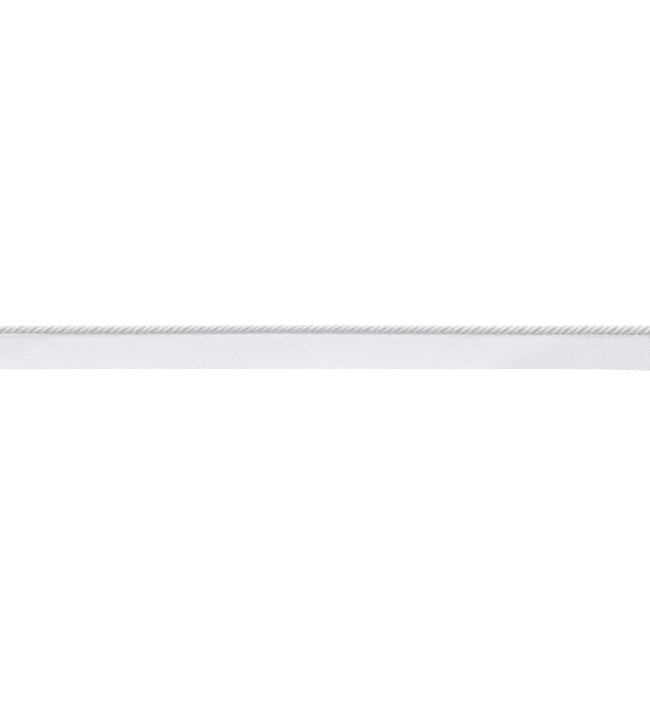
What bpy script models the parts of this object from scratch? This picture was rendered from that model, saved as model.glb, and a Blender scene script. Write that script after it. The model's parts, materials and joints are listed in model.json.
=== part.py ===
"""Lip cord: a straight cut length of upholstery trimming, lying face up.

A twisted cord is sewn along one edge of a woven twill tape. The tape, called the lip or
flange, is what goes into a seam. The length runs along X, the cord lies at +Y and the
lip's free edge at -Y. Z is up, and the tape rests on Z = 0.
"""

from collections import namedtuple
from math import cos, pi, radians, sin, sqrt

import bmesh
import bpy

MM = 0.001

# The trimming as a whole
LENGTH = 250 * MM
OVERALL_HEIGHT = 16.25 * MM  # from the cord's outer side to the lip's free edge
SEWN_GAP = 0.3 * MM  # between the tape and the cord that is sewn to it

# The cord: four strands laid together as two pairs, in the S direction
CORD_DIAMETER = 3.5 * MM
LAY = 11.1 * MM  # the length in which a strand goes once round
STRAND_THICKNESS = 1.4 * MM  # measured outwards from the cord's middle
STRAND_BREADTH = 1.72 * MM  # measured round the cord
PAIRS = 2
HALF_PAIR_ANGLE = radians(40)  # a strand's middle from the middle of its pair
SHOULDER_ANGLE = radians(22)
RINGS_PER_TURN = 12

# The lip: one width of twill tape. From its free edge it has a loose side that may lift,
# a flat band that a seam takes, and a strip under the cord, drawn up by the sewing.
TAPE_THICKNESS = 1.0 * MM
LOOSE_WIDTH = 8.6 * MM
SEAM_BAND_WIDTH = 3.2 * MM
SEWN_WIDTH = 3.4 * MM
SEWN_EDGE_RISE = 0.1 * MM
LOOSE_ROWS = 6
FOLD_SLANT = 1.5  # how far along the length a fold runs for each step across the tape
TAPE_STEPS_ALONG = 50

# The tape strays further out than the cord does, so both are set this much towards +Y
# to keep the middle of the overall size at Y = 0.
STRAY_BALANCE = 0.17 * MM
CORD_MIDDLE_Y = (OVERALL_HEIGHT - CORD_DIAMETER) / 2 + STRAY_BALANCE
FREE_EDGE_Y = -OVERALL_HEIGHT / 2 + STRAY_BALANCE

# How the length lies, in millimetres: the place along it, how far the cord and the tape
# stray sideways there, how thick the cord is beside its usual size, and how high the
# lip's free edge lifts off the surface.
Lie = namedtuple("Lie", "along cord_stray tape_stray cord_size edge_lift")
LIES = (
    Lie(-125, 0.11, -0.05, 1.00, 0.20),
    Lie(-116, 0.10, -0.04, 1.01, 0.50),
    Lie(-73, 0.04, 0.12, 1.03, 0.55),
    Lie(-37, 0.42, 0.10, 0.88, 0.42),
    Lie(0, 0.48, 0.17, 0.86, 0.60),
    Lie(37, 0.24, -0.02, 0.94, 0.50),
    Lie(59, -0.03, -0.02, 1.03, 0.55),
    Lie(75, -0.11, 0.08, 1.10, 0.00),
    Lie(98, -0.06, -0.04, 1.12, 0.08),
    Lie(125, -0.28, -0.60, 1.18, 0.00),
)

CORD_COLOUR = (0.87, 0.87, 0.86, 1.0)
TAPE_COLOUR = (0.79, 0.82, 0.85, 1.0)


def lie_at(x, column):
    """The value of one column of LIES at x, eased from row to row."""
    along = x / MM
    for before, after in zip(LIES, LIES[1:]):
        if along <= after.along:
            break
    share = min(max((along - before.along) / (after.along - before.along), 0.0), 1.0)
    eased = share * share * (3 - 2 * share)
    return getattr(before, column) * (1 - eased) + getattr(after, column) * eased


def clear_scene():
    for old in list(bpy.data.objects):
        bpy.data.objects.remove(old)


def cloth_material(name, colour, roughness):
    material = bpy.data.materials.new(name)
    material.use_nodes = True
    shader = material.node_tree.nodes["Principled BSDF"]
    shader.inputs["Base Color"].default_value = colour
    shader.inputs["Roughness"].default_value = roughness
    shader.inputs["Metallic"].default_value = 0.0
    return material


def add_part(name, bm, location, material, collection):
    mesh = bpy.data.meshes.new(name)
    bm.to_mesh(mesh)
    bm.free()
    mesh.materials.append(material)
    part = bpy.data.objects.new(name, mesh)
    part.location = location
    collection.objects.link(part)
    return part


def reach_of_strand(angle):
    """How far a strand reaches from the cord's middle, at an angle from the strand's own.

    The strand's cut is an ellipse that stands off the cord's middle, so this is the
    outer crossing of a ray with it.
    """
    out = STRAND_THICKNESS / 2
    side = STRAND_BREADTH / 2
    stand_off = CORD_DIAMETER / 2 - out
    a = (cos(angle) / out) ** 2 + (sin(angle) / side) ** 2
    b = cos(angle) * stand_off / out**2
    c = (stand_off / out) ** 2 - 1
    return (b + sqrt(max(b * b - a * c, 0.0))) / a


def section_of_cord():
    """The cord's cut as (angle, radius): each strand's crown, its shoulders, and the
    groove after it, which is shallow inside a pair and deep between two pairs."""
    points = []
    for pair in range(PAIRS):
        middle = pair * 2 * pi / PAIRS
        for side in (-1, 1):
            crown = middle + side * HALF_PAIR_ANGLE
            for turn in (-SHOULDER_ANGLE, 0.0, SHOULDER_ANGLE):
                points.append((crown + turn, reach_of_strand(turn)))
        points.append((middle, reach_of_strand(HALF_PAIR_ANGLE)))
        half_gap = pi / PAIRS - HALF_PAIR_ANGLE
        points.append((middle + pi / PAIRS, reach_of_strand(half_gap)))
    return sorted((angle % (2 * pi), radius) for angle, radius in points)


def make_cord(collection):
    """The lobed section, spun along X so that every lobe follows its strand."""
    section = section_of_cord()
    bm = bmesh.new()
    bmesh.ops.create_circle(bm, cap_ends=True, segments=len(section), radius=CORD_DIAMETER / 2)
    bm.verts.ensure_lookup_table()
    for vert, (angle, radius) in zip(bm.verts, section):
        vert.co = (-LENGTH / 2, radius * sin(angle), radius * cos(angle))
    steps = round(LENGTH / LAY * RINGS_PER_TURN)
    bmesh.ops.spin(
        bm,
        geom=bm.verts[:] + bm.edges[:] + bm.faces[:],
        cent=(0, 0, 0),
        axis=(1, 0, 0),
        dvec=(LENGTH / steps, 0, 0),
        angle=-2 * pi * LENGTH / LAY,
        steps=steps,
        use_duplicate=False,
    )
    # Each ring takes its size and place from the row of LIES it lies at. The underside
    # keeps its height, because the tape carries it.
    for vert in bm.verts:
        size = lie_at(vert.co.x, "cord_size")
        vert.co.y = vert.co.y * size + lie_at(vert.co.x, "cord_stray") * MM
        vert.co.z = vert.co.z * size + (size - 1) * CORD_DIAMETER / 2
    bmesh.ops.recalc_face_normals(bm, faces=bm.faces[:])
    middle_z = TAPE_THICKNESS + SEWN_EDGE_RISE + SEWN_GAP + CORD_DIAMETER / 2
    material = cloth_material("twisted cord, white", CORD_COLOUR, 0.7)
    cord = add_part("twisted_cord", bm, (0, CORD_MIDDLE_Y, middle_z), material, collection)
    cord.data.shade_smooth()
    cord.data.set_sharp_from_angle(angle=radians(50))
    return cord


def make_lip(collection):
    """One width of tape, given its thickness by Solidify. From its flat seam band the
    free edge lifts a little on one side, with folds that run slantwise to it, and the
    sewn edge rises on the other."""
    seam_line = LOOSE_WIDTH + SEAM_BAND_WIDTH
    rows = [LOOSE_WIDTH * row / LOOSE_ROWS for row in range(LOOSE_ROWS + 1)]
    rows += [seam_line, seam_line + SEWN_WIDTH]
    bm = bmesh.new()
    bmesh.ops.create_grid(bm, x_segments=TAPE_STEPS_ALONG, y_segments=len(rows) - 1, size=0.5)
    for vert in bm.verts:
        x = vert.co.x * LENGTH
        y = rows[round((vert.co.y + 0.5) * (len(rows) - 1))]
        loose = max(1 - y / LOOSE_WIDTH, 0.0)
        sewn = max(y - seam_line, 0.0) / SEWN_WIDTH
        lift = lie_at(x - FOLD_SLANT * y, "edge_lift") * MM
        z = lift * loose**1.5 + SEWN_EDGE_RISE * sewn
        vert.co = (x, y + lie_at(x, "tape_stray") * MM, z)
    material = cloth_material("twill tape, white", TAPE_COLOUR, 0.85)
    lip = add_part("twill_lip", bm, (0, FREE_EDGE_Y, 0), material, collection)
    thickness = lip.modifiers.new("Thickness", "SOLIDIFY")
    thickness.thickness = TAPE_THICKNESS
    thickness.offset = 1.0
    return lip


def main():
    clear_scene()
    collection = bpy.data.collections.new("Lip cord")
    bpy.context.scene.collection.children.link(collection)
    make_cord(collection)
    make_lip(collection)


main()
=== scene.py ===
"""Length of lip cord: the laid cord, the woven lip and the sewing, made around the frame.

Laid out as an add-on and run as a script. Each operator makes one piece, or one group of
like pieces, in the frame's own coordinates: metres, +X along the length, +Y towards the
cord and +Z up.
"""

import json
from math import cos, hypot, pi, radians, sin

import bpy
from bpy.props import FloatProperty, FloatVectorProperty, IntProperty, PointerProperty
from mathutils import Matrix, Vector

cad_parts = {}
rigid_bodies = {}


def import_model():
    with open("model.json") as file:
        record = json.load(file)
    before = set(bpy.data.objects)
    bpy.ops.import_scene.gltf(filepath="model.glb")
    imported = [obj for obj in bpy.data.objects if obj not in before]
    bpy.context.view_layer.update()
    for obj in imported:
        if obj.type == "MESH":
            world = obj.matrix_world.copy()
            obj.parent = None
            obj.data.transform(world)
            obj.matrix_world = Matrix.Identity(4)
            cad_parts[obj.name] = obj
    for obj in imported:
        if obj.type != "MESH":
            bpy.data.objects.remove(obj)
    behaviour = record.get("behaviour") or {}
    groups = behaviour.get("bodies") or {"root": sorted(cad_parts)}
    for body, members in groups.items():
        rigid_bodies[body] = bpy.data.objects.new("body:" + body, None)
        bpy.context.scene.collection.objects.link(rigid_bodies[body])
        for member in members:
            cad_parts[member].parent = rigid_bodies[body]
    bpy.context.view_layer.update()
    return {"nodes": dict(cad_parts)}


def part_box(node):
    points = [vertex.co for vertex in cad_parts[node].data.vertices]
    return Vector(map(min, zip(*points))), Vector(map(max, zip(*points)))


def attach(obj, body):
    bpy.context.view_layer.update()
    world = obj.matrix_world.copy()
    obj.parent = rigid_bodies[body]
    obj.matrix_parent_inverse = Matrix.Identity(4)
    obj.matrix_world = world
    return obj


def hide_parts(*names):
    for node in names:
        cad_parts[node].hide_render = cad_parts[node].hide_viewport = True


bl_info = {
    "name": "Lip Cord",
    "version": (1, 0, 0),
    "blender": (4, 5, 0),
    "location": "3D View > Sidebar > Lip Cord",
    "description": "Makes a length of lip cord: laid strands of yarn sewn to a twill tape",
    "category": "Add Mesh",
}

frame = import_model()
LIP_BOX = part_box("twill_lip")

MM = 0.001
BODY = "root"

# The photo's frame and how the length lies in it
PHOTO_HEIGHT_PX = 722
MM_PER_PX = 0.3655
CAMERA_Y = -4.925 * MM
FACE_HEIGHT = 1.5 * MM  # the height at which the photo's scale holds
SENSOR_HALF = 18.0  # half the camera's sensor, in millimetres

# How the solids are read: points this close along X share a section, and the lip's free
# edge is looked for near its outer side
SECTION_STEP = 0.2 * MM
EDGE_ZONE = 1.0 * MM
EDGE_DEPTH = 0.3 * MM

# How finely the pieces are made
POINTS_PER_LAY = 20
POINTS_PER_STITCH = 14
TUBE_SIDES = 6
SEED_STEP = 11.0  # between the seeds of two strands
UNSEWN_RINGS = 2  # at each end of the cord
FLOOR_GAP = 0.1 * MM  # under the tape, which leaves room for its relief


def linear(hex_colour):
    """An sRGB hex colour as linear red, green and blue, with alpha."""
    channels = [int(hex_colour[i : i + 2], 16) / 255 for i in (1, 3, 5)]
    return (*[c / 12.92 if c <= 0.04045 else ((c + 0.055) / 1.055) ** 2.4 for c in channels], 1.0)


def distance(name, description, default, **more):
    """A length property, in metres."""
    return FloatProperty(
        name=name, description=description, default=default, subtype="DISTANCE",
        unit="LENGTH", precision=5, min=0.0, **more,
    )


def colour(name, description, hex_colour):
    """A colour property."""
    return FloatVectorProperty(
        name=name, description=description, default=linear(hex_colour), subtype="COLOR",
        size=4, min=0.0, max=1.0,
    )


def power(name, description, default):
    """The power of a lamp, in watts."""
    return FloatProperty(
        name=name, description=description, default=default, subtype="POWER", unit="POWER",
        min=0.0,
    )


class LIPCORD_PG_cord(bpy.types.PropertyGroup):
    """Sizes and colour of the laid cord."""

    diameter: distance("Diameter", "Over the crowns of the strands", 3.5 * MM)
    lay: distance("Lay", "Length in which a strand goes once round the cord", 11.1 * MM)
    pair_angle: FloatProperty(
        name="Pair Angle", description="Between the two strands of a pair",
        default=radians(80), subtype="ANGLE", unit="ROTATION",
    )
    strand_thickness: distance("Strand Thickness", "Outwards from the cord's middle", 1.5 * MM)
    strand_breadth: distance("Strand Breadth", "Measured round the cord", 1.54 * MM)
    yarns: IntProperty(name="Yarns", description="Yarns round a strand", default=10, min=3)
    yarn_thickness: distance("Yarn Thickness", "Diameter of one yarn", 0.42 * MM)
    core_thickness: distance("Core Thickness", "Diameter of the yarn inside a strand", 0.84 * MM)
    yarn_turn: distance("Yarn Turn", "Length in which a yarn goes once round its strand", 9 * MM)
    unevenness: distance("Unevenness", "How far the pull of the yarns shifts them", 0.05 * MM)
    yarn_colour: colour("Yarn Colour", "White yarn", "#F2F2F1")


class LIPCORD_PG_lip(bpy.types.PropertyGroup):
    """Sizes and colour of the woven lip."""

    width: distance("Width", "Of the whole tape", 15.2 * MM)
    thickness: distance("Thickness", "Of the woven tape, without its relief", 0.84 * MM)
    ends: IntProperty(name="Ends", description="Warp ends across the tape", default=60, min=4)
    pick_spacing: distance("Pick Spacing", "Between two weft picks", 0.4875 * MM)
    rib_height: distance("Rib Height", "Of the twill's diagonal ribs", 0.028 * MM)
    thread_relief: distance("Thread Relief", "Of the single threads", 0.02 * MM)
    end_height: distance("End Height", "Of one warp end beside its grooves", 0.02 * MM)
    edge_ends: FloatProperty(
        name="Edge Ends", description="Warp ends in a selvedge", default=3.0,
    )
    edge_fullness: FloatProperty(
        name="Edge Fullness", description="Thickness at a selvedge beside the tape's own",
        default=1.03,
    )
    fold_slant: FloatProperty(
        name="Fold Slant", description="How far along a fold runs for each step across",
        default=1.25,
    )
    loose_width: distance("Loose Width", "Of the side that may lift", 8.6 * MM)
    seam_width: distance("Seam Width", "From the free edge to the drawn-up strip", 12.5 * MM)
    draw_width: distance("Draw Width", "Over which the sewing draws the tape up", 1.5 * MM)
    draw_height: distance("Draw Height", "How far the sewing draws the tape up", 0.44 * MM)
    full_lift: distance("Full Lift", "Lift of the free edge that lets the rest lie flat", 0.5 * MM)
    pull_width: distance("Pull Width", "Beside it, pulled up where the cord is thick", 2.2 * MM)
    pull_height: distance("Pull Height", "How far that part is pulled up", 0.12 * MM)
    tape_colour: colour("Tape Colour", "Cool white cotton", "#F2F3F5")


class LIPCORD_PG_sewing(bpy.types.PropertyGroup):
    """Sizes and colour of the sewing that holds the cord on the lip."""

    thickness: distance("Thickness", "Diameter of the sewing thread", 0.22 * MM)
    stitch: distance("Stitch", "Length of a stitch, which catches every strand", 2.775 * MM)
    inset: distance("Inset", "From the cord's middle to the row of stitches", 0.85 * MM)
    slant: distance("Slant", "How far a stitch leans along the cord as it rises", 0.7 * MM)
    under: distance("Under", "Height of the thread under the tape", 0.27 * MM)
    catch: distance("Catch", "Height to which a stitch reaches into the cord", 2.0 * MM)
    thread_colour: colour("Thread Colour", "White sewing thread", "#F4F4F2")


class LIPCORD_PG_stage(bpy.types.PropertyGroup):
    """The floor, the light and the camera."""

    lens: FloatProperty(name="Lens", description="Focal length in millimetres", default=100.0)
    floor_size: distance("Floor Size", "Side of the square floor", 6.0)
    floor_colour: colour("Floor Colour", "Pale sweep", "#C4C4C4")
    floor_glow: FloatProperty(
        name="Floor Glow", description="Light from under the floor", default=0.8,
    )
    light_distance: distance("Light Distance", "From each soft light to the length", 1.5)
    light_width: distance("Light Width", "Along the length", 1.2)
    light_depth: distance("Light Depth", "Across its width", 0.5)
    side_elevation: FloatProperty(
        name="Side Elevation", description="Of the side light above the floor",
        default=radians(28), subtype="ANGLE", unit="ROTATION",
    )
    top_elevation: FloatProperty(
        name="Top Elevation", description="Of the top light above the floor",
        default=radians(68), subtype="ANGLE", unit="ROTATION",
    )
    cord_side: power("Cord Side", "Of the side light, as it falls on the cord", 9.4)
    cord_top: power("Cord Top", "Of the top light, as it falls on the cord", 6.2)
    lip_side: power("Lip Side", "Of the side light, as it falls on the lip", 19.7)
    lip_top: power("Lip Top", "Of the top light, as it falls on the lip", 3.4)
    fill: FloatProperty(
        name="Fill", description="Strength of the light from all round", default=0.45,
    )
    fill_colour: colour("Fill Colour", "Cool daylight from all round", "#FAFCFF")


class LIPCORD_PG_all(bpy.types.PropertyGroup):
    """Everything that a user can change."""

    cord: PointerProperty(type=LIPCORD_PG_cord)
    lip: PointerProperty(type=LIPCORD_PG_lip)
    sewing: PointerProperty(type=LIPCORD_PG_sewing)
    stage: PointerProperty(type=LIPCORD_PG_stage)


def add(tree, kind, feeds=(), **settings):
    """Adds one node with its settings. feeds gives its inputs, by name or number: a value,
    a socket, or a node, whose first output is then used."""
    node = tree.nodes.new(kind)
    for name, value in settings.items():
        setattr(node, name, value)
    for key, value in dict(feeds).items():
        if isinstance(value, bpy.types.Node):
            value = value.outputs[0]
        if isinstance(value, bpy.types.NodeSocket):
            tree.links.new(value, node.inputs[key])
        else:
            node.inputs[key].default_value = value
    return node


def start_tree(name, inputs):
    """A Geometry Nodes tree that takes a guide curve and named inputs, each with its kind
    of socket. Returns the tree and its input node's outputs."""
    tree = bpy.data.node_groups.new(name, "GeometryNodeTree")
    tree.interface.new_socket("Guide", in_out="INPUT", socket_type="NodeSocketGeometry")
    for label, kind in inputs.items():
        tree.interface.new_socket(label, in_out="INPUT", socket_type="NodeSocket" + kind)
    tree.interface.new_socket("Piece", in_out="OUTPUT", socket_type="NodeSocketGeometry")
    return tree, add(tree, "NodeGroupInput").outputs


def end_tree(tree, mesh, material):
    """Ends a tree: instances realized, surface smooth, material set."""
    real = add(tree, "GeometryNodeRealizeInstances", {0: mesh})
    smooth = add(tree, "GeometryNodeSetShadeSmooth", {0: real})
    painted = add(tree, "GeometryNodeSetMaterial", {0: smooth, "Material": material})
    add(tree, "NodeGroupOutput", {0: painted})


def make_piece(name, tree, guide, values):
    """Runs a tree on a guide curve and returns the plain mesh piece that comes of it."""
    source = bpy.data.objects.new(name + "_guide", guide)
    bpy.context.scene.collection.objects.link(source)
    modifier = source.modifiers.new(tree.name, "NODES")
    modifier.node_group = tree
    for item in tree.interface.items_tree:
        if item.in_out == "INPUT" and item.name in values:
            modifier[item.identifier] = values[item.name]
    depsgraph = bpy.context.evaluated_depsgraph_get()
    mesh = bpy.data.meshes.new_from_object(source.evaluated_get(depsgraph), depsgraph=depsgraph)
    mesh.name = name
    bpy.data.objects.remove(source)
    if not mesh.polygons:
        raise RuntimeError(f"{tree.name} made no faces for {name}")
    piece = bpy.data.objects.new(name, mesh)
    bpy.context.scene.collection.objects.link(piece)
    return piece


def guide_line(name, points):
    """A curve through (place, radius) points, for a tree to follow."""
    data = bpy.data.curves.new(name, "CURVE")
    data.dimensions = "3D"
    spline = data.splines.new("POLY")
    spline.points.add(len(points) - 1)
    for point, (place, radius) in zip(spline.points, points):
        point.co = (*place, 1.0)
        point.radius = radius
    return data


def sections(node):
    """The points of a CAD node in groups that share a place along X, in order."""
    groups = {}
    for vert in frame["nodes"][node].data.vertices:
        groups.setdefault(round(vert.co.x / SECTION_STEP), []).append(vert.co)
    return [groups[key] for key in sorted(groups)]


def cord_line(diameter):
    """The cord's middle at each ring of its solid, with its girth beside the usual one."""
    points = []
    for ring in sections("twisted_cord"):
        ys = [co.y for co in ring]
        zs = [co.z for co in ring]
        middle = Vector((ring[0].x, (min(ys) + max(ys)) / 2, (min(zs) + max(zs)) / 2))
        reach = max(hypot(co.y - middle.y, co.z - middle.z) for co in ring)
        points.append((middle, 2 * reach / diameter))
    return points


def free_edge_line(cord):
    """The under edge of the lip's free side, at each place where its solid has a point,
    with the cord's girth there."""
    points = []
    for group in sections("twill_lip"):
        outer = min(co.y for co in group)
        if outer < LIP_BOX[0].y + EDGE_ZONE:
            low = min((co for co in group if co.y < outer + EDGE_DEPTH), key=lambda co: co.z)
            girth = min(cord, key=lambda point: abs(point[0].x - low.x))[1]
            points.append((low.copy(), girth))
    return points


def new_material(name):
    """An empty node material and its Principled shader."""
    material = bpy.data.materials.new(name)
    material.use_nodes = True
    return material, material.node_tree.nodes["Principled BSDF"]


def cotton_yarn_material(name, base, plies, ply_turn, ply_depth):
    """Soft plied cotton: white, matt, with a faint sheen of fibres at grazing angles.

    A yarn stores how far along it a point lies, and which way the point faces round it.
    The plies show as slanting grooves, in painted shade a little darker than their crests,
    and the fibres as fine streaks along them.
    """
    material, shader = new_material(name)
    tree = material.node_tree
    shader.inputs["Roughness"].default_value = 0.72
    shader.inputs["Specular IOR Level"].default_value = 0.3
    shader.inputs["Sheen Weight"].default_value = 0.25
    shader.inputs["Sheen Roughness"].default_value = 0.5
    along = add(tree, "ShaderNodeAttribute", attribute_name="along").outputs["Fac"]
    facing = add(tree, "ShaderNodeAttribute", attribute_name="facing").outputs["Vector"]
    turn = add(tree, "ShaderNodeMath", {0: along, 1: 2 * pi / ply_turn}, operation="MULTIPLY")
    turned = add(
        tree, "ShaderNodeVectorRotate", {"Vector": facing, "Angle": turn},
        rotation_type="Z_AXIS",
    )
    x, y, _ = add(tree, "ShaderNodeSeparateXYZ", {0: turned}).outputs
    angle = add(tree, "ShaderNodeMath", {0: y, 1: x}, operation="ARCTAN2")
    waves = add(tree, "ShaderNodeMath", {0: angle, 1: plies / 2}, operation="MULTIPLY")
    swing = add(tree, "ShaderNodeMath", {0: waves}, operation="SINE")
    plied = add(tree, "ShaderNodeMath", {0: swing}, operation="ABSOLUTE")
    # On a yarn 0.42 mm thick the streaks are about 0.03 mm wide and 0.2 mm long
    length = add(tree, "ShaderNodeCombineXYZ", {"Z": along})
    drawn_out = add(tree, "ShaderNodeVectorMath", {0: length, 3: 900.0}, operation="SCALE")
    place = add(tree, "ShaderNodeVectorMath", {0: turned, 1: drawn_out}, operation="ADD")
    fibres = add(tree, "ShaderNodeTexNoise", {"Vector": place, "Scale": 6.0, "Detail": 2.0})
    relief = add(tree, "ShaderNodeMath", {0: fibres, 1: 0.35, 2: plied}, operation="MULTIPLY_ADD")
    bump = add(tree, "ShaderNodeBump", {"Height": relief, "Strength": 0.6, "Distance": ply_depth})
    tree.links.new(bump.outputs[0], shader.inputs["Normal"])
    # Painted shade: the ply grooves take 0.93 of the white, darker than the crests
    groove = tuple(c * 0.93 for c in base[:3]) + (1.0,)
    tint = add(
        tree, "ShaderNodeMix", {0: plied, 6: groove, 7: base}, data_type="RGBA",
    ).outputs[2]
    tree.links.new(tint, shader.inputs["Base Color"])
    return material


def twill_tape_material(base, thread_relief):
    """Close-woven cotton tape: matt, cool white. The mesh has the twill's ribs, and its
    stored end and pick numbers place the single threads, which are here: warp floats
    that stand up as the ribs, and weft floats lower between them."""
    material, shader = new_material("cotton twill tape, bleached white")
    tree = material.node_tree
    shader.inputs["Roughness"].default_value = 0.85
    shader.inputs["Specular IOR Level"].default_value = 0.25
    shader.inputs["Sheen Weight"].default_value = 0.15
    shader.inputs["Sheen Roughness"].default_value = 0.6
    end, pick = (
        add(tree, "ShaderNodeAttribute", attribute_name=name).outputs["Fac"]
        for name in ("end_number", "pick_number")
    )
    behind = add(tree, "ShaderNodeMath", {0: pick, 1: end}, operation="SUBTRACT")
    phase = add(tree, "ShaderNodeMath", {0: behind, 1: pi / 2, 2: pi / 4}, operation="MULTIPLY_ADD")
    wave = add(tree, "ShaderNodeMath", {0: phase}, operation="SINE")
    threads = []
    for count, share, drop in ((end, 1.0, 0.0), (pick, -0.5, -0.4)):
        turn = add(tree, "ShaderNodeMath", {0: count, 1: pi}, operation="MULTIPLY")
        swing = add(tree, "ShaderNodeMath", {0: turn}, operation="SINE")
        rounded = add(tree, "ShaderNodeMath", {0: swing}, operation="ABSOLUTE")
        level = add(tree, "ShaderNodeMath", {0: wave, 1: share, 2: drop}, operation="MULTIPLY_ADD")
        threads.append(
            add(tree, "ShaderNodeMath", {0: rounded, 1: 0.7, 2: level}, operation="MULTIPLY_ADD")
        )
    weave = add(tree, "ShaderNodeMath", {0: threads[0], 1: threads[1]}, operation="MAXIMUM")
    # Fibres of about 0.17 mm, as coarse as they need to be to show from close by
    place = add(tree, "ShaderNodeTexCoord").outputs["Object"]
    fibres = add(tree, "ShaderNodeTexNoise", {"Vector": place, "Scale": 6000.0, "Detail": 2.0})
    relief = add(tree, "ShaderNodeMath", {0: fibres, 1: 0.8, 2: weave}, operation="MULTIPLY_ADD")
    bump = add(tree, "ShaderNodeBump", {"Height": relief, "Distance": thread_relief})
    tree.links.new(bump.outputs[0], shader.inputs["Normal"])
    # Patches of about 11 mm where the bleach took a little more or less, and painted shade that
    # makes the gaps between the threads darker
    mottle = add(tree, "ShaderNodeTexNoise", {"Vector": place, "Scale": 90.0, "Detail": 3.0})
    # Painted shade: where the weave lies lower, between the threads, the white is darkened to 0.86
    painted_gap_shade = add(
        tree, "ShaderNodeMapRange",
        {"Value": weave, "From Min": -0.3, "From Max": 1.4, "To Min": 0.86, "To Max": 1.0},
    )
    shade = add(tree, "ShaderNodeMath", {0: mottle, 1: 0.03, 2: painted_gap_shade}, operation="MULTIPLY_ADD")
    tint = add(
        tree, "ShaderNodeMix", {0: 1.0, 6: base, 7: shade}, data_type="RGBA",
        blend_type="MULTIPLY",
    ).outputs[2]
    tree.links.new(tint, shader.inputs["Base Color"])
    return material


def tube_along(tree, curve, radius, sides):
    """A closed tube round each spline, which stores how far along it a point lies and
    which way the point faces."""
    length = add(tree, "GeometryNodeSplineParameter").outputs["Length"]
    measured = add(
        tree, "GeometryNodeStoreNamedAttribute",
        {0: curve, "Name": "along", "Value": length}, data_type="FLOAT", domain="POINT",
    )
    circle = add(tree, "GeometryNodeCurvePrimitiveCircle", {"Resolution": sides, "Radius": 1.0})
    profile = add(
        tree, "GeometryNodeStoreNamedAttribute",
        {0: circle, "Name": "facing", "Value": add(tree, "GeometryNodeInputPosition")},
        data_type="FLOAT_VECTOR", domain="POINT",
    )
    return add(
        tree, "GeometryNodeCurveToMesh",
        {"Curve": measured, "Profile Curve": profile, "Scale": radius, "Fill Caps": True},
    )


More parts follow.
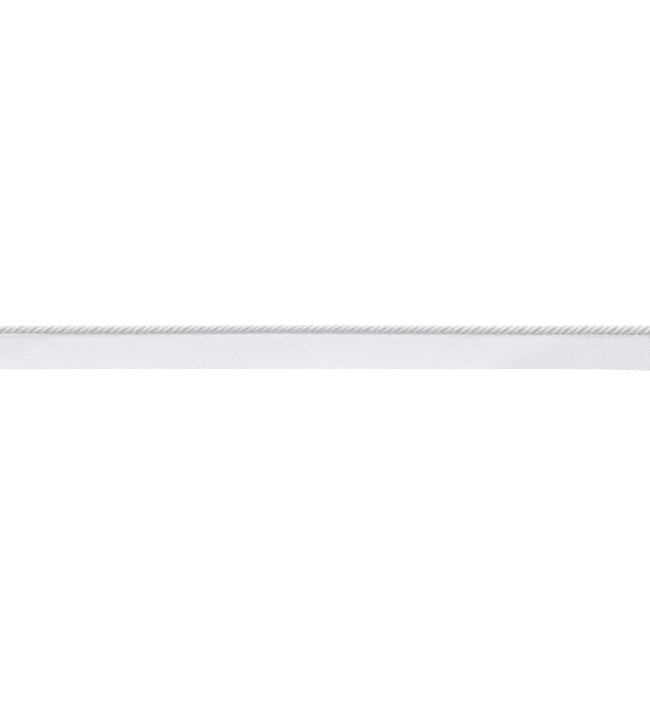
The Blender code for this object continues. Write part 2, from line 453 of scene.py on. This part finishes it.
def strand_tree():
    """Yarns that go round a strand while the strand goes round the cord's line."""
    tree, given = start_tree(
        "Laid Strand",
        {
            "Points": "Int", "Lay": "Float", "Strand Angle": "Float", "Stand Off": "Float",
            "Ring Breadth": "Float", "Ring Thickness": "Float", "Yarns": "Int",
            "Yarn Turn": "Float", "Yarn Radius": "Float", "Core Radius": "Float",
            "Unevenness": "Float", "Seed": "Float", "Material": "Material",
        },
    )
    line = add(
        tree, "GeometryNodeResampleCurve", {"Curve": given["Guide"], "Count": given["Points"]},
    )
    all_yarns = add(tree, "ShaderNodeMath", {0: given["Yarns"], 1: 1.0}, operation="ADD")
    yarns = add(
        tree, "GeometryNodeDuplicateElements", {0: line, "Amount": all_yarns}, domain="SPLINE",
    )
    number = yarns.outputs["Duplicate Index"]
    outside = add(tree, "ShaderNodeMath", {0: number, 1: given["Yarns"]}, operation="LESS_THAN")
    radius = add(
        tree, "ShaderNodeMix", {0: outside, 2: given["Core Radius"], 3: given["Yarn Radius"]},
        data_type="FLOAT",
    )
    place = add(tree, "GeometryNodeInputPosition")
    x = add(tree, "ShaderNodeSeparateXYZ", {0: place}).outputs[0]
    girth = add(tree, "GeometryNodeInputRadius")

    # Where the yarn lies round its strand, pulled a little in and out by its tension
    step = add(tree, "ShaderNodeMath", {0: 2 * pi, 1: given["Yarns"]}, operation="DIVIDE")
    first = add(tree, "ShaderNodeMath", {0: number, 1: step}, operation="MULTIPLY")
    yarn_rate = add(tree, "ShaderNodeMath", {0: 2 * pi, 1: given["Yarn Turn"]}, operation="DIVIDE")
    yarn_angle = add(
        tree, "ShaderNodeMath", {0: x, 1: yarn_rate, 2: first}, operation="MULTIPLY_ADD",
    )
    ring = add(
        tree, "ShaderNodeVectorRotate", {"Vector": (0, 0, 1), "Angle": yarn_angle},
        rotation_type="X_AXIS",
    )
    ring_size = add(
        tree, "ShaderNodeCombineXYZ", {"Y": given["Ring Breadth"], "Z": given["Ring Thickness"]},
    )
    on_ring = add(tree, "ShaderNodeVectorMath", {0: ring, 1: ring_size}, operation="MULTIPLY")
    # The tension changes over about 4 mm, and each yarn has its own row of the noise
    row = add(
        tree, "ShaderNodeMath", {0: number, 1: 3.7, 2: given["Seed"]},
        operation="MULTIPLY_ADD",
    )
    sample = add(tree, "ShaderNodeCombineXYZ", {"X": x, "Y": row})
    sampled = add(tree, "ShaderNodeVectorMath", {0: sample, 1: (250, 1, 1)}, operation="MULTIPLY")
    noise = add(tree, "ShaderNodeTexNoise", {"Vector": sampled, "Scale": 1.0, "Detail": 1.0})
    pull = add(
        tree, "ShaderNodeVectorMath", {0: noise.outputs["Color"], 1: (0.5, 0.5, 0.5)},
        operation="SUBTRACT",
    )
    shift = add(tree, "ShaderNodeVectorMath", {0: pull, 3: given["Unevenness"]}, operation="SCALE")
    uneven = add(tree, "ShaderNodeVectorMath", {0: on_ring, 1: shift}, operation="ADD")
    in_strand = add(tree, "ShaderNodeVectorMath", {0: uneven, 3: outside}, operation="SCALE")

    # The strand's own place round the cord's line
    off = add(tree, "ShaderNodeCombineXYZ", {"Z": given["Stand Off"]})
    local = add(tree, "ShaderNodeVectorMath", {0: in_strand, 1: off}, operation="ADD")
    lay_rate = add(tree, "ShaderNodeMath", {0: -2 * pi, 1: given["Lay"]}, operation="DIVIDE")
    turned = add(tree, "ShaderNodeMath", {0: x, 1: lay_rate}, operation="MULTIPLY")
    angle = add(tree, "ShaderNodeMath", {0: turned, 1: given["Strand Angle"]}, operation="SUBTRACT")
    round_line = add(
        tree, "ShaderNodeVectorRotate", {"Vector": local, "Angle": angle},
        rotation_type="X_AXIS",
    )
    offset = add(tree, "ShaderNodeVectorMath", {0: round_line, 3: girth}, operation="SCALE")
    laid = add(tree, "GeometryNodeSetPosition", {0: yarns, "Offset": offset})
    end_tree(tree, tube_along(tree, laid, radius, TUBE_SIDES), given["Material"])
    return tree


class LIPCORD_OT_cord(bpy.types.Operator):
    """Makes the cord's four strands of yarn"""

    bl_idname = "lip_cord.make_cord"
    bl_label = "Make Cord"

    def execute(self, context):
        sizes = context.scene.lip_cord.cord
        line = cord_line(sizes.diameter)
        start, end = line[0][0].x, line[-1][0].x
        material = cotton_yarn_material(
            "plied cotton yarn, white", tuple(sizes.yarn_colour), plies=2, ply_turn=1.6 * MM,
            ply_depth=0.03 * MM,
        )
        tree = strand_tree()
        yarn_radius = sizes.yarn_thickness / 2
        for pair in range(2):
            for side in (-1, 1):
                number = 2 * pair + (side + 1) // 2 + 1
                angle = pair * pi + side * sizes.pair_angle / 2
                piece = make_piece(
                    f"cord_strand_{number}", tree, guide_line("cord line", line),
                    {
                        "Points": round((end - start) / sizes.lay * POINTS_PER_LAY) + 1,
                        "Lay": sizes.lay,
                        "Strand Angle": angle - 2 * pi * start / sizes.lay,
                        "Stand Off": (sizes.diameter - sizes.strand_thickness) / 2,
                        "Ring Breadth": sizes.strand_breadth / 2 - yarn_radius,
                        "Ring Thickness": sizes.strand_thickness / 2 - yarn_radius,
                        "Yarns": sizes.yarns,
                        "Yarn Turn": sizes.yarn_turn,
                        "Yarn Radius": yarn_radius,
                        "Core Radius": sizes.core_thickness / 2,
                        "Unevenness": sizes.unevenness,
                        "Seed": SEED_STEP * number,
                        "Material": material,
                    },
                )
                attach(piece, BODY)
                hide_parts("twisted_cord")
        return {"FINISHED"}


def tape_tree():
    """The tape's section carried along its free edge, with the relief of a 2/2 twill.

    The section goes round the tape: over the face it has a point on each warp end and in
    each groove beside it, and back under the tape a point for each end.
    """
    tree, given = start_tree(
        "Twill Tape",
        {
            "Ends": "Int", "Picks": "Int", "Length": "Float", "Width": "Float",
            "Thickness": "Float", "Rib Height": "Float", "End Height": "Float",
            "Edge Ends": "Float", "Edge Fullness": "Float", "Fold Slant": "Float",
            "Loose Width": "Float", "Seam Width": "Float", "Draw Width": "Float",
            "Draw Height": "Float", "Full Lift": "Float", "Pull Width": "Float",
            "Pull Height": "Float", "Floor Gap": "Float", "Material": "Material",
        },
    )
    # The section's points: how far across the tape, and on which side of it
    face_points = add(
        tree, "ShaderNodeMath", {0: given["Ends"], 1: 2.0, 2: 1.0}, operation="MULTIPLY_ADD",
    )
    all_points = add(tree, "ShaderNodeMath", {0: given["Ends"], 1: face_points}, operation="ADD")
    round_tape = add(tree, "ShaderNodeMath", {0: all_points, 1: 1.0}, operation="ADD")
    index = add(tree, "GeometryNodeInputIndex")
    on_face = add(tree, "ShaderNodeMath", {0: index, 1: face_points}, operation="LESS_THAN")
    over = add(tree, "ShaderNodeMath", {0: index, 1: 0.5}, operation="MULTIPLY")
    back = add(tree, "ShaderNodeMath", {0: all_points, 1: index}, operation="SUBTRACT")
    end_number = add(
        tree, "ShaderNodeMix", {0: on_face, 2: back, 3: over}, data_type="FLOAT",
    )
    circle = add(
        tree, "GeometryNodeCurvePrimitiveCircle", {"Resolution": round_tape, "Radius": 1.0},
    )
    numbered = add(
        tree, "GeometryNodeStoreNamedAttribute",
        {0: circle, "Name": "end_number", "Value": end_number}, data_type="FLOAT", domain="POINT",
    )
    section = add(
        tree, "GeometryNodeStoreNamedAttribute",
        {0: numbered, "Name": "on_face", "Value": on_face}, data_type="FLOAT", domain="POINT",
    )

    # The free edge's points: one for each pick, with the edge's own place
    line_points = add(tree, "ShaderNodeMath", {0: given["Picks"], 1: 1.0}, operation="ADD")
    eased = add(
        tree, "GeometryNodeCurveSplineType", {"Curve": given["Guide"]}, spline_type="CATMULL_ROM",
    )
    line = add(tree, "GeometryNodeResampleCurve", {"Curve": eased, "Count": line_points})
    counted = add(
        tree, "GeometryNodeStoreNamedAttribute",
        {0: line, "Name": "pick_number", "Value": add(tree, "GeometryNodeInputIndex")},
        data_type="FLOAT", domain="POINT",
    )
    weighed = add(
        tree, "GeometryNodeStoreNamedAttribute",
        {0: counted, "Name": "cord_girth", "Value": add(tree, "GeometryNodeInputRadius")},
        data_type="FLOAT", domain="POINT",
    )
    placed = add(
        tree, "GeometryNodeStoreNamedAttribute",
        {0: weighed, "Name": "edge_place", "Value": add(tree, "GeometryNodeInputPosition")},
        data_type="FLOAT_VECTOR", domain="POINT",
    )
    skin = add(
        tree, "GeometryNodeCurveToMesh",
        {"Curve": placed, "Profile Curve": section, "Fill Caps": True},
    )
    end = add(tree, "GeometryNodeInputNamedAttribute", {"Name": "end_number"}, data_type="FLOAT")
    face = add(tree, "GeometryNodeInputNamedAttribute", {"Name": "on_face"}, data_type="FLOAT")
    pick = add(tree, "GeometryNodeInputNamedAttribute", {"Name": "pick_number"}, data_type="FLOAT")
    girth = add(tree, "GeometryNodeInputNamedAttribute", {"Name": "cord_girth"}, data_type="FLOAT")
    edge = add(
        tree, "GeometryNodeInputNamedAttribute", {"Name": "edge_place"}, data_type="FLOAT_VECTOR",
    )
    edge_parts = add(tree, "ShaderNodeSeparateXYZ", {0: edge})

    # Across the tape: the free side takes the lift that its edge has where the slanting fold
    # starts, partly curled and partly straight up to the seam. The sewn side is drawn up,
    # and where the free edge lies down, the whole tape slopes up to the sewing.
    spacing = add(tree, "ShaderNodeMath", {0: given["Width"], 1: given["Ends"]}, operation="DIVIDE")
    across = add(tree, "ShaderNodeMath", {0: end, 1: spacing}, operation="MULTIPLY")
    loose = add(
        tree, "ShaderNodeMapRange",
        {"Value": across, "From Min": given["Loose Width"], "From Max": 0.0},
    )
    run = add(tree, "ShaderNodeMath", {0: across, 1: given["Fold Slant"]}, operation="MULTIPLY")
    run_share = add(tree, "ShaderNodeMath", {0: run, 1: given["Length"]}, operation="DIVIDE")
    share = add(tree, "ShaderNodeMath", {0: pick, 1: given["Picks"]}, operation="DIVIDE")
    fold_share = add(
        tree, "ShaderNodeMath", {0: share, 1: run_share}, operation="SUBTRACT", use_clamp=True,
    )
    fold = add(
        tree, "GeometryNodeSampleCurve", {"Curves": eased, "Factor": fold_share}, mode="FACTOR",
    )
    fold_parts = add(tree, "ShaderNodeSeparateXYZ", {0: fold.outputs["Position"]})
    curled = add(tree, "ShaderNodeMath", {0: loose, 1: 1.5}, operation="POWER")
    straight = add(
        tree, "ShaderNodeMapRange",
        {"Value": across, "From Min": given["Seam Width"], "From Max": 0.0},
    )
    lift_share = add(
        tree, "ShaderNodeMix", {0: 0.5, 2: straight, 3: curled}, data_type="FLOAT",
    )
    lift = add(
        tree, "ShaderNodeMath", {0: lift_share, 1: fold_parts.outputs[2]}, operation="MULTIPLY",
    )
    draw_end = add(
        tree, "ShaderNodeMath", {0: given["Seam Width"], 1: given["Draw Width"]}, operation="ADD",
    )
    draw = add(
        tree, "ShaderNodeMapRange",
        {
            "Value": across, "From Min": given["Seam Width"], "From Max": draw_end,
            "To Max": given["Draw Height"],
        },
        interpolation_type="SMOOTHSTEP",
    )
    lies_down = add(
        tree, "ShaderNodeMapRange",
        {"Value": fold_parts.outputs[2], "From Min": given["Full Lift"], "From Max": 0.0},
    )
    slope = add(
        tree, "ShaderNodeMapRange",
        {"Value": across, "From Max": draw_end, "To Max": given["Draw Height"]},
    )
    sloping = add(tree, "ShaderNodeMath", {0: slope, 1: lies_down}, operation="MULTIPLY")
    drawn = add(tree, "ShaderNodeMath", {0: draw, 1: sloping}, operation="MAXIMUM")
    # Beside the seam the tape is pulled up a little more where the cord is thick, from 0.93
    # of its usual size up
    pull_start = add(
        tree, "ShaderNodeMath", {0: given["Seam Width"], 1: given["Pull Width"]},
        operation="SUBTRACT",
    )
    near = add(
        tree, "ShaderNodeMapRange",
        {"Value": across, "From Min": pull_start, "From Max": given["Seam Width"]},
    )
    nearer = add(tree, "ShaderNodeMath", {0: near, 1: 3.0}, operation="POWER")
    thick = add(
        tree, "ShaderNodeMapRange",
        {"Value": girth, "From Min": 0.93, "To Max": given["Pull Height"]},
    )
    pulled = add(
        tree, "ShaderNodeMath", {0: nearer, 1: thick, 2: drawn}, operation="MULTIPLY_ADD",
    )
    lie = add(tree, "ShaderNodeMath", {0: lift, 1: pulled}, operation="ADD")
    under = add(tree, "ShaderNodeMath", {0: lie, 1: given["Floor Gap"]}, operation="ADD")

    # The weave: each end floats over two picks and under two, one pick on from its
    # neighbour, so the floats line up in ribs. Each end also stands up between grooves.
    behind = add(tree, "ShaderNodeMath", {0: pick, 1: end}, operation="SUBTRACT")
    phase = add(tree, "ShaderNodeMath", {0: behind, 1: pi / 2, 2: pi / 4}, operation="MULTIPLY_ADD")
    rib = add(tree, "ShaderNodeMath", {0: phase}, operation="SINE")
    rib_height = add(tree, "ShaderNodeMath", {0: given["Rib Height"], 1: 0.5}, operation="MULTIPLY")
    ribs = add(tree, "ShaderNodeMath", {0: rib, 1: rib_height}, operation="MULTIPLY")
    off_groove = add(tree, "ShaderNodeMath", {0: end, 1: 0.5}, operation="PINGPONG")
    end_height = add(tree, "ShaderNodeMath", {0: given["End Height"], 1: 2.0}, operation="MULTIPLY")
    relief = add(
        tree, "ShaderNodeMath", {0: off_groove, 1: end_height, 2: ribs}, operation="MULTIPLY_ADD",
    )

    # The two faces of the tape stand half its thickness off its middle, a little more at
    # its selvedges
    half = add(tree, "ShaderNodeMath", {0: given["Ends"], 1: 0.5}, operation="MULTIPLY")
    inwards = add(tree, "ShaderNodeMath", {0: end, 1: half}, operation="PINGPONG")
    fullness = add(
        tree, "ShaderNodeMapRange",
        {"Value": inwards, "From Max": given["Edge Ends"], "To Min": given["Edge Fullness"]},
    )
    facing = add(tree, "ShaderNodeMath", {0: face, 1: 0.5}, operation="SUBTRACT")
    apart = add(tree, "ShaderNodeMath", {0: facing, 1: fullness}, operation="MULTIPLY")
    middle = add(tree, "ShaderNodeMath", {0: apart, 1: 0.5}, operation="ADD")
    side = add(
        tree, "ShaderNodeMath", {0: middle, 1: given["Thickness"], 2: relief},
        operation="MULTIPLY_ADD",
    )
    height = add(tree, "ShaderNodeMath", {0: under, 1: side}, operation="ADD")
    y = add(tree, "ShaderNodeMath", {0: edge_parts.outputs[1], 1: across}, operation="ADD")
    place = add(tree, "ShaderNodeCombineXYZ", {"X": edge_parts.outputs[0], "Y": y, "Z": height})
    # The section runs so that its skin faces inwards, and is turned over
    woven = add(tree, "GeometryNodeSetPosition", {0: skin, "Position": place})
    outwards = add(tree, "GeometryNodeFlipFaces", {0: woven})
    end_tree(tree, outwards, given["Material"])
    return tree


class LIPCORD_OT_lip(bpy.types.Operator):
    """Makes the woven lip, a twill tape"""

    bl_idname = "lip_cord.make_lip"
    bl_label = "Make Lip"

    def execute(self, context):
        sizes = context.scene.lip_cord.lip
        edge = free_edge_line(cord_line(context.scene.lip_cord.cord.diameter))
        length = edge[-1][0].x - edge[0][0].x
        material = twill_tape_material(tuple(sizes.tape_colour), sizes.thread_relief)
        lip = make_piece(
            "lip_tape", tape_tree(), guide_line("free edge", edge),
            {
                "Ends": sizes.ends,
                "Picks": round(length / sizes.pick_spacing),
                "Length": length,
                "Width": sizes.width,
                "Thickness": sizes.thickness,
                "Rib Height": sizes.rib_height,
                "End Height": sizes.end_height,
                "Edge Ends": sizes.edge_ends,
                "Edge Fullness": sizes.edge_fullness,
                "Fold Slant": sizes.fold_slant,
                "Loose Width": sizes.loose_width,
                "Seam Width": sizes.seam_width,
                "Draw Width": sizes.draw_width,
                "Draw Height": sizes.draw_height,
                "Full Lift": sizes.full_lift,
                "Pull Width": sizes.pull_width,
                "Pull Height": sizes.pull_height,
                "Floor Gap": FLOOR_GAP,
                "Material": material,
            },
        )
        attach(lip, BODY)
        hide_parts("twill_lip")
        return {"FINISHED"}


def sewing_tree():
    """A thread that runs under the tape and, once in each stitch, up through it into the
    strand above."""
    tree, given = start_tree(
        "Sewing",
        {
            "Points": "Int", "Stitch": "Float", "Inset": "Float", "Slant": "Float",
            "Under": "Float", "Catch": "Float", "Radius": "Float", "Material": "Material",
        },
    )
    line = add(
        tree, "GeometryNodeResampleCurve", {"Curve": given["Guide"], "Count": given["Points"]},
    )
    place = add(tree, "ShaderNodeSeparateXYZ", {0: add(tree, "GeometryNodeInputPosition")})
    rate = add(tree, "ShaderNodeMath", {0: 2 * pi, 1: given["Stitch"]}, operation="DIVIDE")
    turn = add(tree, "ShaderNodeMath", {0: place.outputs[0], 1: rate}, operation="MULTIPLY")
    swing = add(tree, "ShaderNodeMath", {0: turn}, operation="COSINE")
    rise = add(tree, "ShaderNodeMapRange", {"Value": swing, "From Min": -1.0, "From Max": 1.0})
    narrow = add(tree, "ShaderNodeMath", {0: rise, 1: 5.0}, operation="POWER")
    height = add(
        tree, "ShaderNodeMapRange",
        {"Value": narrow, "To Min": given["Under"], "To Max": given["Catch"]},
    )
    y = add(tree, "ShaderNodeMath", {0: place.outputs[1], 1: given["Inset"]}, operation="SUBTRACT")
    x = add(
        tree, "ShaderNodeMath", {0: narrow, 1: given["Slant"], 2: place.outputs[0]},
        operation="MULTIPLY_ADD",
    )
    point = add(tree, "ShaderNodeCombineXYZ", {"X": x, "Y": y, "Z": height})
    sewn = add(tree, "GeometryNodeSetPosition", {0: line, "Position": point})
    end_tree(tree, tube_along(tree, sewn, given["Radius"], TUBE_SIDES), given["Material"])
    return tree


class LIPCORD_OT_sewing(bpy.types.Operator):
    """Makes the sewing that holds the cord on the lip"""

    bl_idname = "lip_cord.make_sewing"
    bl_label = "Make Sewing"

    def execute(self, context):
        sizes = context.scene.lip_cord.sewing
        line = cord_line(context.scene.lip_cord.cord.diameter)
        inner = [(place, 1.0) for place, girth in line[UNSEWN_RINGS:-UNSEWN_RINGS]]
        stitches = (inner[-1][0].x - inner[0][0].x) / sizes.stitch
        thread = make_piece(
            "sewing_thread", sewing_tree(), guide_line("sewing line", inner),
            {
                "Points": round(stitches * POINTS_PER_STITCH),
                "Stitch": sizes.stitch,
                "Inset": sizes.inset,
                "Slant": sizes.slant,
                "Under": sizes.under,
                "Catch": sizes.catch,
                "Radius": sizes.thickness / 2,
                "Material": cotton_yarn_material(
                    "cotton sewing thread, white", tuple(sizes.thread_colour), plies=3,
                    ply_turn=0.8 * MM, ply_depth=0.015 * MM,
                ),
            },
        )
        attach(thread, BODY)
        return {"FINISHED"}


def soft_light(name, sizes, elevation, watts):
    """A soft box on the cord's side of the length, facing it."""
    lamp = bpy.data.lights.new(name, "AREA")
    lamp.shape = "RECTANGLE"
    lamp.size = sizes.light_width
    lamp.size_y = sizes.light_depth
    lamp.energy = watts
    light = bpy.data.objects.new(name, lamp)
    towards = Vector((0, cos(elevation), sin(elevation)))
    light.location = towards * sizes.light_distance
    light.rotation_euler = towards.to_track_quat("Z", "Y").to_euler()
    bpy.context.scene.collection.objects.link(light)
    return light


class LIPCORD_OT_stage(bpy.types.Operator):
    """Makes the floor, the lights and the camera"""

    bl_idname = "lip_cord.make_stage"
    bl_label = "Make Stage"

    def execute(self, context):
        sizes = context.scene.lip_cord.stage
        scene = context.scene
        half = sizes.floor_size / 2
        mesh = bpy.data.meshes.new("floor")
        corners = [(-half, -half, 0), (half, -half, 0), (half, half, 0), (-half, half, 0)]
        mesh.from_pydata(corners, [], [(0, 1, 2, 3)])
        floor = bpy.data.objects.new("floor", mesh)
        scene.collection.objects.link(floor)
        material, shader = new_material("pale sweep lit from below")
        shader.inputs["Base Color"].default_value = tuple(sizes.floor_colour)
        shader.inputs["Roughness"].default_value = 0.9
        shader.inputs["Specular IOR Level"].default_value = 0.0
        shader.inputs["Emission Color"].default_value = linear("#FFFFFF")
        shader.inputs["Emission Strength"].default_value = sizes.floor_glow
        mesh.materials.append(material)

        # Two soft lights on the cord's side, one low and one high. Each is shared between the
        # cord and the lip, so that the cord's flank falls into shade but casts none over the
        # lip. The floor takes neither and shows hardly any shade, as in the photo.
        cord_group = bpy.data.collections.new("on the cord")
        lip_group = bpy.data.collections.new("on the lip")
        for each in scene.objects:
            if each.name.startswith(("cord_strand", "sewing_thread")):
                cord_group.objects.link(each)
        lip_group.objects.link(scene.objects["lip_tape"])
        for group, side_power, top_power in (
            (cord_group, sizes.cord_side, sizes.cord_top),
            (lip_group, sizes.lip_side, sizes.lip_top),
        ):
            for name, elevation, watts in (
                ("side", sizes.side_elevation, side_power),
                ("top", sizes.top_elevation, top_power),
            ):
                light = soft_light(f"{name} light {group.name}", sizes, elevation, watts)
                light.light_linking.receiver_collection = group
                if group is lip_group:
                    light.light_linking.blocker_collection = group

        world = bpy.data.worlds.new("soft light all round")
        world.use_nodes = True
        sky = world.node_tree.nodes["Background"]
        sky.inputs["Color"].default_value = tuple(sizes.fill_colour)
        sky.inputs["Strength"].default_value = sizes.fill
        scene.world = world

        half_view = SENSOR_HALF / sizes.lens
        camera_data = bpy.data.cameras.new("camera")
        camera_data.lens = sizes.lens
        camera_data.clip_start = 0.01
        camera = bpy.data.objects.new("camera", camera_data)
        far = PHOTO_HEIGHT_PX * MM_PER_PX * MM / 2 / half_view
        camera.location = (0, CAMERA_Y, FACE_HEIGHT + far)
        scene.collection.objects.link(camera)
        scene.camera = camera
        scene.view_settings.view_transform = "Standard"
        return {"FINISHED"}


class LIPCORD_PT_panel(bpy.types.Panel):
    """Lists the pieces and their sizes"""

    bl_idname = "LIPCORD_PT_panel"
    bl_label = "Lip Cord"
    bl_space_type = "VIEW_3D"
    bl_region_type = "UI"
    bl_category = "Lip Cord"

    def draw(self, context):
        groups = context.scene.lip_cord
        for operator, group in (
            (LIPCORD_OT_cord, groups.cord),
            (LIPCORD_OT_lip, groups.lip),
            (LIPCORD_OT_sewing, groups.sewing),
            (LIPCORD_OT_stage, groups.stage),
        ):
            box = self.layout.box()
            box.operator(operator.bl_idname)
            for name in group.__annotations__:
                box.prop(group, name)


CLASSES = (
    LIPCORD_PG_cord,
    LIPCORD_PG_lip,
    LIPCORD_PG_sewing,
    LIPCORD_PG_stage,
    LIPCORD_PG_all,
    LIPCORD_OT_cord,
    LIPCORD_OT_lip,
    LIPCORD_OT_sewing,
    LIPCORD_OT_stage,
    LIPCORD_PT_panel,
)


def register():
    for each in CLASSES:
        bpy.utils.register_class(each)
    bpy.types.Scene.lip_cord = PointerProperty(type=LIPCORD_PG_all)


def unregister():
    del bpy.types.Scene.lip_cord
    for each in reversed(CLASSES):
        bpy.utils.unregister_class(each)


def main():
    register()
    bpy.ops.lip_cord.make_cord()
    bpy.ops.lip_cord.make_lip()
    bpy.ops.lip_cord.make_sewing()
    bpy.ops.lip_cord.make_stage()


if __name__ == "__main__":
    main()
